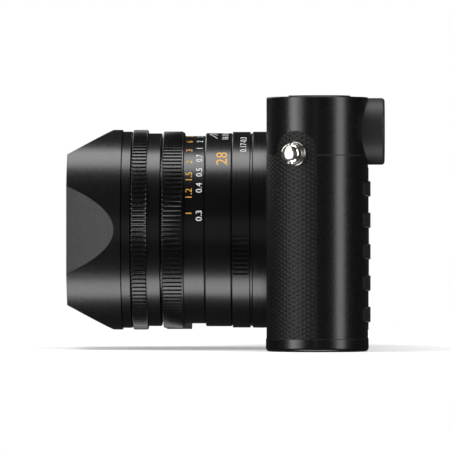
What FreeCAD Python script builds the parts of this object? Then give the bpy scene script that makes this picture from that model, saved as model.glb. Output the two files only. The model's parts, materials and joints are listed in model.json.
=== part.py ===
import FreeCAD, Part
import math
import os

# A compact camera with a fixed 28 mm lens and a screw-on hood. Millimetres, +Z up.
# The origin is the tripod socket's centre on the foot plane. The lens points along -Y.
# +X is the photographer's left, the end with the eyepiece and the column of buttons.

V = FreeCAD.Vector

# ---- Body, driving dimensions ----
body_length = 130.0
body_depth = 31.2
body_height = 78.0
lens_offset = 3.0          # from mid length to the lens axis, towards the photographer's left
base_height = 3.75
base_lip = 0.2             # the base stands this far out all round
cover_height = 17.9        # skirt of the top cover
wall = 1.5                 # front shell and top cover
roof = 2.4                 # top of the top cover
base_floor = 1.9
panel_thickness = 1.9
skin = 0.5                 # leatherette
leather_rear = -0.1        # the leatherette stops here on both ends
edge_round = 1.0
cover_round = 0.4          # rim of the top cover
base_round = 1.2

# ---- Clearances ----
running_gap = 0.08         # a turning or sliding fit, on the radius
side_gap = 0.15            # between a moving piece and what it passes face to face
button_gap = 0.2           # round a button's cap
door_gap = 0.25            # round a door's edge
battery_gap = 0.3

# ---- Strap lugs ----
lug_height = 60.5
lug_forward = 26.0         # degrees that a lug looks forward of the body's long axis
lug_flange_radius = 3.65
lug_flange_height = 0.8
lug_neck_radius = 2.6
lug_neck_height = 0.7
lug_head_radius = 3.3
lug_total_height = 4.2
lug_hole_radius = 1.1
lug_stud_radius = 1.4
arch_radius = 7.0          # patch of leatherette round a lug

# ---- Hot shoe ----
shoe_width = 18.7          # ISO foot 18.6 wide
shoe_mouth = 12.6          # between the lips
shoe_slot_height = 2.05    # ISO foot 2.0 thick
shoe_length = 18.0
shoe_rail = 1.25
shoe_lip = 0.7
shoe_floor = 0.35
shoe_sink = 1.8            # pocket in the cover

# ---- Eyepiece and finder ----
eyepiece_x = 44.1
eyepiece_z = body_height - 10.45
eyepiece_radius = 10.25
eyepiece_proud = 5.1
eyepiece_bore = 7.0
spigot_radius = 8.0
eyeglass_recess = 2.9
eyeglass_thickness = 2.0
finder_half_width = 8.2
finder_half_height = 6.5
finder_front = -9.0
finder_box_rear = 8.0
diopter_radius = 5.0
diopter_width = 2.6
diopter_proud = 0.9
diopter_spacing = 15.1     # from the eyepiece's axis
diopter_stub_radius = 1.0
diopter_stub_length = 1.5
fork_thickness = 1.0

# ---- Rear controls ----
button_column_x = 48.0
button_width = 7.0
button_tall = 4.7
button_pitch = 9.63
button_column_middle = 30.6
button_proud = 0.74
button_round = 0.5
button_flange = 0.7
button_flange_thickness = 0.8
button_travel = 0.5
pad_x = -42.0
pad_z = 31.0
pad_radius = 10.5
pad_hole = 4.6
pad_proud = 0.8
pad_gap = 0.35
pad_flange = 1.3
pad_flange_thickness = 0.5
pad_tilt_room = 0.7
set_radius = 4.1
set_proud = 0.6
zoom_x = -33.0
zoom_z = 52.0
zoom_radius = 3.0
rest_x = -48.0
rest_z = 57.0
rest_ball = 70.0
rest_depth = 0.9

# ---- Display ----
display_left = 41.0
display_width = 66.0
display_bottom = 6.5
display_tall = 50.0
display_round = 1.5
window_proud = 0.2
panel_depth = 3.5
board_thickness = 1.2
board_margin = 1.0
chip_height = 1.8
chip_sides = [6.0, 8.0, 6.0]   # half widths of the board's three chips

# ---- Top controls ----
dial_x = -27.5
dial_y = 1.0
dial_radius = 9.6
dial_height = 1.85
dial_shaft = 2.5
shutter_x = -48.5
shutter_y = -2.0
collar_radius = 7.5
collar_height = 1.35
collar_wall = 1.9
sleeve_wall = 0.8
lever_reach = 10.2
lever_width = 4.0
shutter_gap = 0.4
shutter_proud = 2.0
shutter_dish = 0.6
release_hole = 1.2
video_x = -60.5
video_y = -3.5
video_radius = 2.4
video_proud = 0.6
wheel_x = -59.0
wheel_y = 7.0
wheel_radius = 5.0
wheel_height = 1.45
wheel_shaft = 1.5
mic_spacing = 28.0
mic_hole = 0.5
mic_pitch = 1.8
lamp_x = -30.0
lamp_z = body_height - 9.5
lamp_radius = 2.4

# ---- Base ----
socket_thread_radius = 3.175   # 1/4 inch tripod thread
socket_radius = 4.5
socket_depth = 6.0
socket_length = 7.0
screw_head_radius = 1.4
screw_head_height = 0.8
screw_shank_radius = 0.8
screw_length = 4.0
speaker_hole = 0.5
speaker_pitch = 1.6
speaker_x = 30.0

# ---- Battery, its door and the latch ----
battery_inner_x = -29.0
battery_width = 28.0
battery_front = -10.5
battery_thickness = 14.5
battery_tall = 44.0
bay_wall = 0.8
bay_rim = 2.5
bay_rim_height = 1.0
door_hinge_x = -24.5
door_thickness = 1.5
door_sink = 0.2
door_overhang = 1.0
latch_length = 6.0
latch_width = 3.2
latch_travel = 1.6
latch_depth = 0.8
latch_grips = 3
grip_width = 0.5

# ---- Port door and sockets on the photographer's right end ----
port_front_angle = 176.0   # degrees round the end, from +X through +Y
port_hinge_angle = 134.0
port_bottom = 18.0
port_tall = 26.0
socket_block_depth = 4.0
socket_block_width = 7.5
socket_block_tall = 22.0
socket_depth_in = 2.8
socket_foot = 1.5
usb_half_width = 1.3
usb_tall = 7.0
hdmi_half_width = 1.5
hdmi_tall = 6.6

# ---- Inner frame, sensor ----
frame_thickness = 1.5
frame_left = 52.0
sensor_half_width = 20.0
sensor_half_height = 14.0
sensor_thickness = 3.5
gate_half_width = 18.5
gate_half_height = 12.5
light_radius = 24.0
rail_height = 2.5
rail_rear = 6.0
block_half_width = 9.0

# ---- Lens, from the body forwards ----
lens_height = 37.3
core_radius = 27.3
core_bore = 26.1
flange_radius = 30.8
flange_length = 4.75
mount_step = 1.0
groove_radius = 30.25
groove_length = 0.65
macro_radius = 30.75
macro_length = 5.55
barrel_radius = 30.35
barrel_length = 8.3
scale_radius = 29.45
scale_length = 6.4
focus_lip_length = 0.6
focus_knurl_radius = 30.9
focus_knurl_length = 6.25
ring_space = 0.5
aperture_radius = 30.3
aperture_smooth_length = 4.05
aperture_groove = 0.3
aperture_knurl_radius = 31.4
aperture_knurl_length = 4.65
front_gap = 0.2
front_ring_radius = 30.85
front_ring_length = 3.2
ring_chamfer = 0.3

# ---- Hood ----
hood_radius = 31.4
hood_length = 16.75
hood_wall = 1.3
hood_half_height = 23.45    # at the mouth
hood_half_width = 28.3    # at the mouth
hood_top_run = 14.0        # length of the slanted top and bottom
hood_side_run = 14.75       # length of the slanted sides
hood_ring_radius = 24.6    # the filter thread that it screws to
hood_ring_thickness = 1.2

# ---- Finger tab and its lock ----
tab_angle = 45.0           # from straight down, towards the photographer's right
tab_reach = 35.3
tab_half_width = 11.0
tab_length = 8.0
tab_scoop = 11.0
tab_scoop_reach = 43.3
lock_radius = 1.8
lock_gap = 0.2
lock_proud = 0.5
lock_length = 4.8
lock_offset = 11.5         # degrees from the tab's middle

# ---- Optics ----
front_glass_radius = 15.2
front_glass_sink = 6.0     # edge of the front element behind the front ring
front_glass_edge = 3.0
front_glass_bulge = 2.4
name_ring_wall = 1.4
name_ring_rim = 1.4
name_ring_sink = 0.5        # its rim behind the front ring
name_ring_step = 0.4        # how far its cone starts inside the rim
glass_lip = 1.2             # turned lip round the front element
glass_lip_width = 0.8
rear_wall = 1.8
rear_glass_radius = 13.5
rear_glass_edge = 3.6
rear_glass_bulge = 1.6
cell_wall = 1.4
cell_length = 7.0
cell_bore = 12.0
cell_web = 1.2
focus_glass_edge = 3.0
focus_glass_bulge = 1.4
focus_travel = 2.5
cell_rest_gap = 1.0

# ---- Iris ----
blade_count = 9
blade_thickness = 0.1
blade_pitch = 0.2
blade_inner = 9.8
blade_outer = 14.6
blade_sweep = 100.0        # degrees of arc
blade_pivot_radius = 15.5
blade_ear = 1.2
blade_hole = 0.56
pin_radius = 0.5
iris_bore = 10.2
iris_pocket_radius = 17.4
iris_rear_wall = 1.5
iris_lid = 0.8

# ---- Worked out from the values above ----
end_radius = body_depth / 2
front_y = -end_radius
rear_y = end_radius
left_centre = body_length / 2 - lens_offset - end_radius
right_centre = -body_length / 2 - lens_offset + end_radius
inner_radius = end_radius - wall
shell_front = front_y + skin
seam_z = body_height - cover_height
roof_z = body_height - roof
panel_y = rear_y - panel_thickness

flange_front = front_y - flange_length
macro_rear = flange_front - groove_length
macro_front = macro_rear - macro_length
barrel_rear = macro_front - side_gap
barrel_front = barrel_rear - barrel_length
scale_rear = barrel_front - side_gap
scale_front = barrel_front - scale_length
focus_lip_front = scale_front - focus_lip_length
focus_front = focus_lip_front - focus_knurl_length
aperture_rear = focus_front - ring_space
aperture_smooth_front = aperture_rear - aperture_smooth_length
aperture_knurl_rear = aperture_smooth_front - aperture_groove
aperture_front = aperture_knurl_rear - aperture_knurl_length
front_ring_rear = aperture_front - front_gap
front_ring_front = front_ring_rear - front_ring_length
hood_front = front_ring_front - hood_length

battery_bottom = door_sink + door_thickness + 2 * button_gap
sleeve_outer = collar_radius - collar_wall + sleeve_wall
shutter_radius = collar_radius - collar_wall - shutter_gap
hinge_z = door_sink + door_thickness / 2


# ---- Shapes that many pieces share ----
def box(x0, x1, y0, y1, z0, z1):
    """A block between two corners."""
    return Part.makeBox(x1 - x0, y1 - y0, z1 - z0, V(x0, y0, z0))


def upright(x, y, radius, z0, z1):
    """A cylinder that stands along Z."""
    return Part.makeCylinder(radius, z1 - z0, V(x, y, z0), V(0, 0, 1))


def along_y(x, z, radius, y0, y1):
    """A cylinder that lies along Y."""
    return Part.makeCylinder(radius, y1 - y0, V(x, y0, z), V(0, 1, 0))


def stadium(radius, z0, z1):
    """The body's outline with both ends round, at a chosen end radius."""
    corner = [V(right_centre, -radius, z0), V(left_centre, -radius, z0),
              V(left_centre, radius, z0), V(right_centre, radius, z0)]
    front = Part.LineSegment(corner[0], corner[1]).toShape()
    left = Part.Arc(corner[1], V(left_centre + radius, 0, z0), corner[2]).toShape()
    rear = Part.LineSegment(corner[2], corner[3]).toShape()
    right = Part.Arc(corner[3], V(right_centre - radius, 0, z0), corner[0]).toShape()
    return Part.Face(Part.Wire([front, left, rear, right])).extrude(V(0, 0, z1 - z0))


def turned(profile):
    """A solid turned about the lens axis from (y, radius) corners."""
    points = [V(0, y, lens_height + radius) for y, radius in profile]
    face = Part.Face(Part.makePolygon(points + points[:1]))
    return face.revolve(V(0, 0, lens_height), V(0, 1, 0), 360)


def ring(y0, y1, radius, bore, chamfer=0.0):
    """A ring about the lens axis, with its two outer edges broken."""
    return turned([(y0, bore), (y0, radius - chamfer), (y0 + chamfer, radius),
                   (y1 - chamfer, radius), (y1, radius - chamfer), (y1, bore)]
                  if chamfer else [(y0, bore), (y0, radius), (y1, radius), (y1, bore)])


def round_slab(x0, x1, y0, y1, z0, z1, radius):
    """A block whose four edges along Y are rounded."""
    slab = box(x0, x1, y0, y1, z0, z1)
    edges = [e for e in slab.Edges if abs(e.tangentAt(e.FirstParameter).y) > 0.5]
    return slab.makeFillet(radius, edges)


def lens_element(radius, y_front, y_rear, front_bulge, rear_bulge):
    """A glass element with spherical faces; a negative bulge is hollow."""
    def point(y, r):
        return V(0, y, lens_height + r)

    def face_arc(y_edge, bulge, sign):
        sphere = (radius ** 2 + bulge ** 2) / (2 * abs(bulge))
        half = math.asin(radius / sphere) / 2
        drop = sphere * (1 - math.cos(half)) * math.copysign(1, bulge)
        apex = y_edge + sign * bulge
        return apex, apex - sign * drop, sphere * math.sin(half)

    apex_a, mid_a, r_a = face_arc(y_front, front_bulge, -1)
    apex_b, mid_b, r_b = face_arc(y_rear, rear_bulge, 1)
    front = Part.Arc(point(apex_a, 0), point(mid_a, r_a), point(y_front, radius)).toShape()
    edge = Part.LineSegment(point(y_front, radius), point(y_rear, radius)).toShape()
    rear = Part.Arc(point(y_rear, radius), point(mid_b, r_b), point(apex_b, 0)).toShape()
    axis = Part.LineSegment(point(apex_b, 0), point(apex_a, 0)).toShape()
    face = Part.Face(Part.Wire([front, edge, rear, axis]))
    return face.revolve(V(0, 0, lens_height), V(0, 1, 0), 360)


def fuse(first, *others):
    """One solid from pieces that touch or overlap."""
    return first.multiFuse(list(others)).removeSplitter()


# ---- Straps and leatherette ----
def lug_frame(side):
    """Outward direction of a lug and the place where its axis meets the end (side +1 left, -1 right)."""
    turn = math.radians(lug_forward)
    normal = V(side * math.cos(turn), -math.sin(turn), 0)
    centre = V(left_centre if side > 0 else right_centre, 0, lug_height)
    return normal, centre + normal * end_radius


def make_lug(side):
    """A turned stud with a flange, a neck and a domed head, drilled from top to bottom."""
    normal, foot = lug_frame(side)
    sunk = end_radius - math.sqrt(end_radius ** 2 - lug_flange_radius ** 2)
    start = foot - normal * sunk
    flange = Part.makeCylinder(lug_flange_radius, sunk + lug_flange_height, start, normal)
    neck = Part.makeCylinder(lug_neck_radius, sunk + lug_flange_height + lug_neck_height, start, normal)
    head_start = foot + normal * (lug_flange_height + lug_neck_height)
    head_height = lug_total_height - lug_flange_height - lug_neck_height
    head = Part.makeCylinder(lug_head_radius, head_height, head_start, normal)
    rim = [e for e in head.Edges if e.Length > lug_head_radius * 6]
    head = head.makeFillet(head_height * 0.4, rim)
    stud = Part.makeCylinder(lug_stud_radius, wall + sunk, foot - normal * wall, normal)
    hole_at = head_start + normal * (head_height / 2)
    hole = upright(hole_at.x, hole_at.y, lug_hole_radius, lug_height - 2 * lug_head_radius,
                   lug_height + 2 * lug_head_radius)
    return fuse(flange, neck, head, stud).cut(hole)


def make_leather_blank():
    """The covering before the lens mount and lugs are cut out of it."""
    sleeve = stadium(end_radius, base_height, body_height).cut(stadium(end_radius - skin, base_height, body_height))
    ahead = box(-body_length, body_length, -body_depth, leather_rear, 0, body_height)
    sleeve = sleeve.common(ahead)
    low = sleeve.common(box(-body_length, body_length, -body_depth, body_depth, 0, seam_z))
    patches = []
    for side in (1, -1):
        normal, foot = lug_frame(side)
        patch = Part.makeCylinder(arch_radius, wall + skin, foot - normal * wall, normal)
        patches.append(sleeve.common(patch))
    return fuse(low, *patches)


lugs = [make_lug(1), make_lug(-1)]
mount_recess = along_y(0, lens_height, flange_radius - mount_step, front_y - skin, shell_front)
leather_blank = make_leather_blank()


# ---- Casings ----
def port_turn(degrees, radius):
    """A place on the right end, by angle about its centre."""
    a = math.radians(degrees)
    return V(right_centre + radius * math.cos(a), radius * math.sin(a), 0)


def end_sector(inner, outer, angle0, angle1, z0, z1):
    """A curved block on the right end, between two angles and two radii."""
    middle = (angle0 + angle1) / 2
    edges = []
    for radius, first, last in ((outer, angle0, angle1), (inner, angle1, angle0)):
        a, m, b = (port_turn(t, radius) + V(0, 0, z0) for t in (first, middle, last))
        edges.append(Part.Arc(a, m, b).toShape())
    ends = [Part.LineSegment(port_turn(angle1, outer) + V(0, 0, z0), port_turn(angle1, inner) + V(0, 0, z0)),
            Part.LineSegment(port_turn(angle0, inner) + V(0, 0, z0), port_turn(angle0, outer) + V(0, 0, z0))]
    outline = Part.Wire([edges[0], ends[0].toShape(), edges[1], ends[1].toShape()])
    return Part.Face(outline).extrude(V(0, 0, z1 - z0))


def along_arc(length):
    """Degrees round the end that a length takes at the outside."""
    return math.degrees(length / end_radius)


port_axis = port_turn(port_hinge_angle, end_radius - wall / 2)


def make_front_shell():
    shell = stadium(end_radius, base_height, seam_z).cut(stadium(inner_radius, base_height, seam_z))
    shell = shell.common(box(-body_length, body_length, -body_depth, panel_y, 0, body_height))
    shell = shell.cut(leather_blank)
    light = along_y(0, lens_height, light_radius, front_y - skin, 0)
    port = end_sector(inner_radius - wall, end_radius + wall, port_hinge_angle,
                      port_front_angle + along_arc(door_gap), port_bottom - door_gap,
                      port_bottom + port_tall + door_gap)
    knuckle = upright(port_axis.x, port_axis.y, wall / 2 + door_gap, port_bottom - door_gap,
                      port_bottom + port_tall + door_gap)
    flange_front_y = panel_y - button_gap - button_flange_thickness
    reach = button_width / 2 + button_flange + button_gap
    column = 2 * button_pitch + button_tall / 2 + button_flange + button_gap
    relief = box(button_column_x - reach, button_column_x + reach, flange_front_y - button_travel - button_gap,
                 panel_y, button_column_middle - column, button_column_middle + column)
    return shell.cut([light, port, knuckle, relief, lugs[0], lugs[1]])


def make_leatherette():
    return leather_blank.cut(mount_recess).cut(lugs[0]).cut(lugs[1])


def make_thumb_dish():
    """The ball that leaves a shallow hollow for the thumb."""
    return Part.makeSphere(rest_ball, V(rest_x, rear_y + rest_ball - rest_depth, rest_z))


def make_top_cover():
    cover = stadium(end_radius, seam_z, body_height)
    top = [e for e in cover.Edges if e.BoundBox.ZMin > body_height - cover_round / 2]
    cover = cover.makeFillet(cover_round, top)
    cover = cover.cut(stadium(inner_radius, seam_z - 1, roof_z))
    tools = [leather_blank, mount_recess, make_thumb_dish(), lugs[0], lugs[1]]
    shoe_half = shoe_width / 2 + shoe_rail
    tools.append(box(-shoe_half, shoe_half, -shoe_length / 2, shoe_length / 2,
                     body_height - shoe_sink, body_height + 1))
    tools.append(along_y(eyepiece_x, eyepiece_z, spigot_radius, 0, rear_y + 1))
    tools.append(along_y(lamp_x, lamp_z, lamp_radius, front_y - 1, 0))
    half_slot = math.sqrt(diopter_radius ** 2 - (diopter_radius - diopter_proud - wall) ** 2) + 2 * button_gap
    diopter_x = eyepiece_x - diopter_spacing
    tools.append(box(diopter_x - half_slot, diopter_x + half_slot, inner_radius - 1, rear_y + 1,
                     eyepiece_z - diopter_width / 2 - button_gap, eyepiece_z + diopter_width / 2 + button_gap))
    for x, y, radius in ((dial_x, dial_y, dial_shaft + running_gap),
                         (shutter_x, shutter_y, sleeve_outer + running_gap),
                         (video_x, video_y, video_radius + button_gap),
                         (wheel_x, wheel_y, wheel_shaft + running_gap)):
        tools.append(upright(x, y, radius, roof_z - 1, body_height + 1))
    for side in (-1, 1):
        for step in (-1, 0, 1):
            tools.append(upright(side * mic_spacing / 2, step * mic_pitch, mic_hole, roof_z - 1, body_height + 1))
    return cover.cut(tools)


def door_edges():
    """Low and high corners of the battery door in the foot plane."""
    return (battery_inner_x - battery_width - door_overhang, door_hinge_x,
            battery_front - door_overhang, battery_front + battery_thickness + door_overhang)


base_radius = end_radius + base_lip
screw_places = [(16, -8), (16, 3), (44, -8), (44, 3)]


def make_screw(x, y):
    """A flat-headed screw with a slot, driven up through the base."""
    foot = door_sink / 2
    head = upright(x, y, screw_head_radius, foot, foot + screw_head_height)
    shank = upright(x, y, screw_shank_radius, foot, foot + screw_length)
    slot = box(x - screw_head_radius, x + screw_head_radius, y - screw_shank_radius / 4,
               y + screw_shank_radius / 4, 0, foot + screw_head_height / 2)
    return fuse(head, shank).cut(slot)


def make_base_plate():
    plate = stadium(base_radius, 0, base_height)
    foot = [e for e in plate.Edges if e.BoundBox.ZMax < base_round / 2]
    plate = plate.makeFillet(base_round, foot)
    x0, x1, y0, y1 = door_edges()
    tools = [stadium(inner_radius, base_floor, base_height + 1), upright(0, 0, socket_radius, -1, base_height)]
    tools.append(box(x0 - door_gap, x1, y0 - door_gap, y1 + door_gap, -1, base_floor + 1))
    hinge = Part.makeCylinder(door_thickness / 2 + door_gap, y1 - y0 + 2 * door_gap,
                              V(x1, y0 - door_gap, hinge_z), V(0, 1, 0))
    tools.append(hinge)
    tools.append(box(x1, x1 + door_thickness / 2 + door_gap, y0 - door_gap, y1 + door_gap, -1, hinge_z))
    for x, y in screw_places:
        foot = door_sink / 2
        tools.append(upright(x, y, screw_head_radius, -1, foot + screw_head_height))
        tools.append(upright(x, y, screw_shank_radius, 0, base_floor + 1))
    for column in range(5):
        for row in (-1, 0, 1):
            tools.append(upright(speaker_x + (column - 2) * speaker_pitch, row * speaker_pitch,
                                 speaker_hole, -1, base_floor + 1))
    return plate.cut(tools)


button_names = ["play_button", "delete_button", "function_button", "iso_button", "menu_button"]


def button_height(index):
    """Height of a button's middle; the first is the highest."""
    return button_column_middle + (2 - index) * button_pitch


def window_shape():
    return round_slab(display_left - display_width, display_left, panel_y, rear_y + window_proud,
                      display_bottom, display_bottom + display_tall, display_round)


def make_rear_panel():
    panel = stadium(end_radius, base_height, seam_z)
    panel = panel.common(box(-body_length, body_length, panel_y, body_depth, 0, body_height))
    tools = [window_shape(), make_thumb_dish()]
    for index in range(len(button_names)):
        z = button_height(index)
        tools.append(box(button_column_x - button_width / 2 - button_gap,
                         button_column_x + button_width / 2 + button_gap, panel_y - 1, rear_y + 1,
                         z - button_tall / 2 - button_gap, z + button_tall / 2 + button_gap))
    tools.append(along_y(pad_x, pad_z, pad_radius + pad_gap, panel_y - 1, rear_y + 1))
    tools.append(along_y(zoom_x, zoom_z, zoom_radius + button_gap, panel_y - 1, rear_y + 1))
    tools.append(along_y(eyepiece_x, eyepiece_z, spigot_radius, panel_y - 1, rear_y + 1))
    return panel.cut(tools)


# ---- Rear and top controls ----
def make_rear_button(index):
    z = button_height(index)
    cap = round_slab(button_column_x - button_width / 2, button_column_x + button_width / 2,
                     panel_y - 2 * button_gap, rear_y + button_proud,
                     z - button_tall / 2, z + button_tall / 2, button_round)
    face = [e for e in cap.Edges if e.BoundBox.YMin > rear_y]
    cap = cap.makeFillet(button_round / 2, face)
    flange_rear = panel_y - button_gap
    flange = box(button_column_x - button_width / 2 - button_flange,
                 button_column_x + button_width / 2 + button_flange,
                 flange_rear - button_flange_thickness, flange_rear,
                 z - button_tall / 2 - button_flange, z + button_tall / 2 + button_flange)
    return fuse(cap, flange)


def make_round_button(x, z, radius, proud):
    """A round button in the rear panel, kept in by a flange behind it."""
    cap = along_y(x, z, radius, panel_y - 2 * button_gap, rear_y + proud)
    face = [e for e in cap.Edges if e.BoundBox.YMin > rear_y]
    cap = cap.makeFillet(button_round / 2, face)
    flange_rear = panel_y - button_gap
    flange = along_y(x, z, radius + button_flange, flange_rear - button_flange_thickness, flange_rear)
    return fuse(cap, flange)


def make_direction_pad():
    cap = along_y(pad_x, pad_z, pad_radius, panel_y - pad_tilt_room - pad_flange_thickness, rear_y + pad_proud)
    face = [e for e in cap.Edges if e.BoundBox.YMin > rear_y]
    cap = cap.makeFillet(button_round, face)
    flange = along_y(pad_x, pad_z, pad_radius + pad_flange,
                     panel_y - pad_tilt_room - pad_flange_thickness, panel_y - pad_tilt_room)
    hole = along_y(pad_x, pad_z, pad_hole, 0, rear_y + 2)
    return fuse(cap, flange).cut(hole)


def make_set_button():
    cap = along_y(pad_x, pad_z, set_radius, panel_y - pad_tilt_room - pad_flange_thickness, rear_y + set_proud)
    face = [e for e in cap.Edges if e.BoundBox.YMin > rear_y]
    return cap.makeFillet(button_round / 2, face)


def top_seat():
    """Height at which a turning piece sits above the top cover."""
    return body_height + side_gap


def make_dial(x, y, radius, height, shaft):
    """A turned knob with a shaft down through the roof."""
    cap = upright(x, y, radius, top_seat(), top_seat() + height)
    cap = cap.makeChamfer(ring_chamfer, [e for e in cap.Edges if e.BoundBox.ZMin > top_seat() + height / 2])
    return fuse(cap, upright(x, y, shaft, roof_z - wall, top_seat() + height / 2))


def make_power_lever():
    top = top_seat() + collar_height
    collar = upright(shutter_x, shutter_y, collar_radius, top_seat(), top)
    tab = box(shutter_x - lever_width / 2, shutter_x + lever_width / 2, shutter_y - lever_reach,
              shutter_y, top_seat(), top)
    sleeve = upright(shutter_x, shutter_y, sleeve_outer, roof_z - button_gap, top)
    bore = upright(shutter_x, shutter_y, collar_radius - collar_wall, 0, body_height * 2)
    return fuse(collar, tab, sleeve).cut(bore)


def make_shutter_button():
    top = body_height + shutter_proud
    cap = upright(shutter_x, shutter_y, shutter_radius, roof_z - wall, top)
    cap = cap.makeFillet(button_round, [e for e in cap.Edges if e.BoundBox.ZMin > body_height])
    ball = (shutter_radius ** 2 + shutter_dish ** 2) / (2 * shutter_dish)
    dish = Part.makeSphere(ball, V(shutter_x, shutter_y, top + ball - shutter_dish / 2))
    release = upright(shutter_x, shutter_y, release_hole, top - 3 * shutter_dish, top + 1)
    return cap.cut(dish).cut(release)


def make_video_button():
    cap = upright(video_x, video_y, video_radius, roof_z - button_gap, body_height + video_proud)
    cap = cap.makeFillet(button_round / 2, [e for e in cap.Edges if e.BoundBox.ZMin > body_height])
    flange = upright(video_x, video_y, video_radius + button_flange,
                     roof_z - button_gap - button_flange_thickness, roof_z - button_gap)
    return fuse(cap, flange)


def make_diopter_wheel():
    x = eyepiece_x - diopter_spacing
    y = rear_y + diopter_proud - diopter_radius
    low = eyepiece_z - diopter_width / 2
    high = eyepiece_z + diopter_width / 2
    wheel = upright(x, y, diopter_radius, low, high)
    wheel = wheel.makeChamfer(ring_chamfer, [e for e in wheel.Edges if e.Length > diopter_radius * 6])
    return fuse(wheel, upright(x, y, diopter_stub_radius, low - diopter_stub_length, high + diopter_stub_length))


# ---- Hot shoe, eyepiece and finder ----
def make_hot_shoe():
    low = body_height - shoe_sink
    floor = low + shoe_floor
    top = floor + shoe_slot_height + shoe_lip
    half = shoe_width / 2 + shoe_rail
    block = box(-half, half, -shoe_length / 2, shoe_length / 2, low, top)
    slot = box(-shoe_width / 2, shoe_width / 2, -shoe_length / 2 + shoe_rail, shoe_length, floor,
               floor + shoe_slot_height)
    mouth = box(-shoe_mouth / 2, shoe_mouth / 2, -shoe_length, shoe_length, floor, top + 1)
    return block.cut(slot).cut(mouth)


def make_eyepiece_frame():
    """The head runs forward to meet the round end, so its front is scooped to the end's curve."""
    overhang = eyepiece_x + eyepiece_radius - left_centre
    meets_end = math.sqrt(end_radius ** 2 - overhang ** 2)
    head = along_y(eyepiece_x, eyepiece_z, eyepiece_radius, meets_end, rear_y + eyepiece_proud)
    rim = [e for e in head.Edges if e.BoundBox.YMin > rear_y + eyepiece_proud / 2]
    head = head.makeFillet(edge_round, rim).cut(stadium(end_radius, 0, body_height))
    spigot = along_y(eyepiece_x, eyepiece_z, spigot_radius, inner_radius, rear_y)
    return fuse(head, spigot).cut(along_y(eyepiece_x, eyepiece_z, eyepiece_bore, 0, body_depth))


def make_eyepiece_glass():
    rear = rear_y + eyepiece_proud - eyeglass_recess
    return along_y(eyepiece_x, eyepiece_z, eyepiece_bore, rear - eyeglass_thickness, rear)


def make_evf_unit():
    case = box(eyepiece_x - finder_half_width, eyepiece_x + finder_half_width, finder_front, finder_box_rear,
               eyepiece_z - finder_half_height, eyepiece_z + finder_half_height)
    tube = along_y(eyepiece_x, eyepiece_z, eyepiece_bore, finder_box_rear, inner_radius)
    x = eyepiece_x - diopter_spacing
    y = rear_y + diopter_proud - diopter_radius
    stub_tip = diopter_width / 2 + diopter_stub_length
    fork = box(x - 2 * diopter_stub_radius, eyepiece_x - eyepiece_bore / 2, finder_box_rear - fork_thickness,
               finder_box_rear, eyepiece_z - stub_tip, eyepiece_z + stub_tip)
    pieces = [case, tube, fork]
    for side in (-1, 1):
        z = eyepiece_z + side * (stub_tip - fork_thickness / 2)
        pieces.append(box(x - 2 * diopter_stub_radius, x + 2 * diopter_stub_radius, finder_box_rear - fork_thickness,
                          y + 2 * diopter_stub_radius, z - fork_thickness / 2, z + fork_thickness / 2))
    room = upright(x, y, diopter_radius + 2 * button_gap, eyepiece_z - diopter_width / 2 - button_gap,
                   eyepiece_z + diopter_width / 2 + button_gap)
    hole = upright(x, y, diopter_stub_radius + running_gap, 0, body_height)
    return fuse(*pieces).cut(room).cut(hole)


# ---- Inside the body ----
def make_inner_frame():
    """The chassis: a plate behind the mount, a rail for the base's screws, the tripod block and the battery bay."""
    rear = front_y + wall + frame_thickness
    bay_x0 = battery_inner_x - battery_width - battery_gap - bay_wall
    bay_x1 = battery_inner_x + battery_gap + bay_wall
    bay_y0 = battery_front - battery_gap - bay_wall
    bay_y1 = battery_front + battery_thickness + battery_gap + bay_wall
    finder_floor = eyepiece_z - finder_half_height
    plate = box(bay_x1 - bay_wall, frame_left, front_y + wall, rear, base_floor, finder_floor)
    plate = plate.common(stadium(inner_radius, 0, body_height))
    shelf = box(eyepiece_x - finder_half_width, frame_left, front_y + wall, finder_front + wall * 2,
                finder_floor - frame_thickness, finder_floor)
    shelf = shelf.common(stadium(inner_radius, 0, body_height))
    rail = box(bay_x1, frame_left - 2, front_y + wall, rail_rear, base_floor, base_floor + rail_height)
    rail = rail.common(stadium(inner_radius, 0, body_height))
    block = box(-block_half_width, block_half_width, front_y + wall, rail_rear, base_floor, socket_length)
    bay = box(bay_x0, bay_x1, bay_y0, bay_y1, base_floor, battery_bottom + battery_tall + battery_gap + bay_wall)
    rim = box(bay_x0 - bay_rim, bay_x1, bay_y0 - bay_rim, bay_y1 + bay_rim, base_floor, base_floor + bay_rim_height)
    rim = rim.common(stadium(inner_radius, 0, body_height))
    frame = fuse(plate, shelf, rail, block, bay, rim)
    gate = box(-gate_half_width, gate_half_width, front_y, 0, lens_height - gate_half_height,
               lens_height + gate_half_height)
    cavity = box(bay_x0 + bay_wall, bay_x1 - bay_wall, bay_y0 + bay_wall, bay_y1 - bay_wall, 0,
                 battery_bottom + battery_tall + battery_gap)
    x0, x1, y0, y1 = door_edges()
    swing = box(x0, x1 + door_thickness, y0 - door_gap, y1 + door_gap, 0, door_sink + door_thickness + button_gap)
    frame = frame.cut([gate, cavity, swing, upright(0, 0, socket_radius, 0, socket_length)])
    return frame.cut([make_screw(x, y) for x, y in screw_places])


def make_tripod_socket():
    bush = upright(0, 0, socket_radius, 0, socket_length)
    return bush.cut(upright(0, 0, socket_thread_radius, 0, socket_depth))


def make_image_sensor():
    rear = front_y + wall + frame_thickness
    return box(-sensor_half_width, sensor_half_width, rear, rear + sensor_thickness,
               lens_height - sensor_half_height, lens_height + sensor_half_height)


def make_lcd_panel():
    return box(display_left - display_width + board_margin, display_left - board_margin,
               panel_y - panel_depth, panel_y, display_bottom + board_margin,
               display_bottom + display_tall - board_margin)


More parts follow.
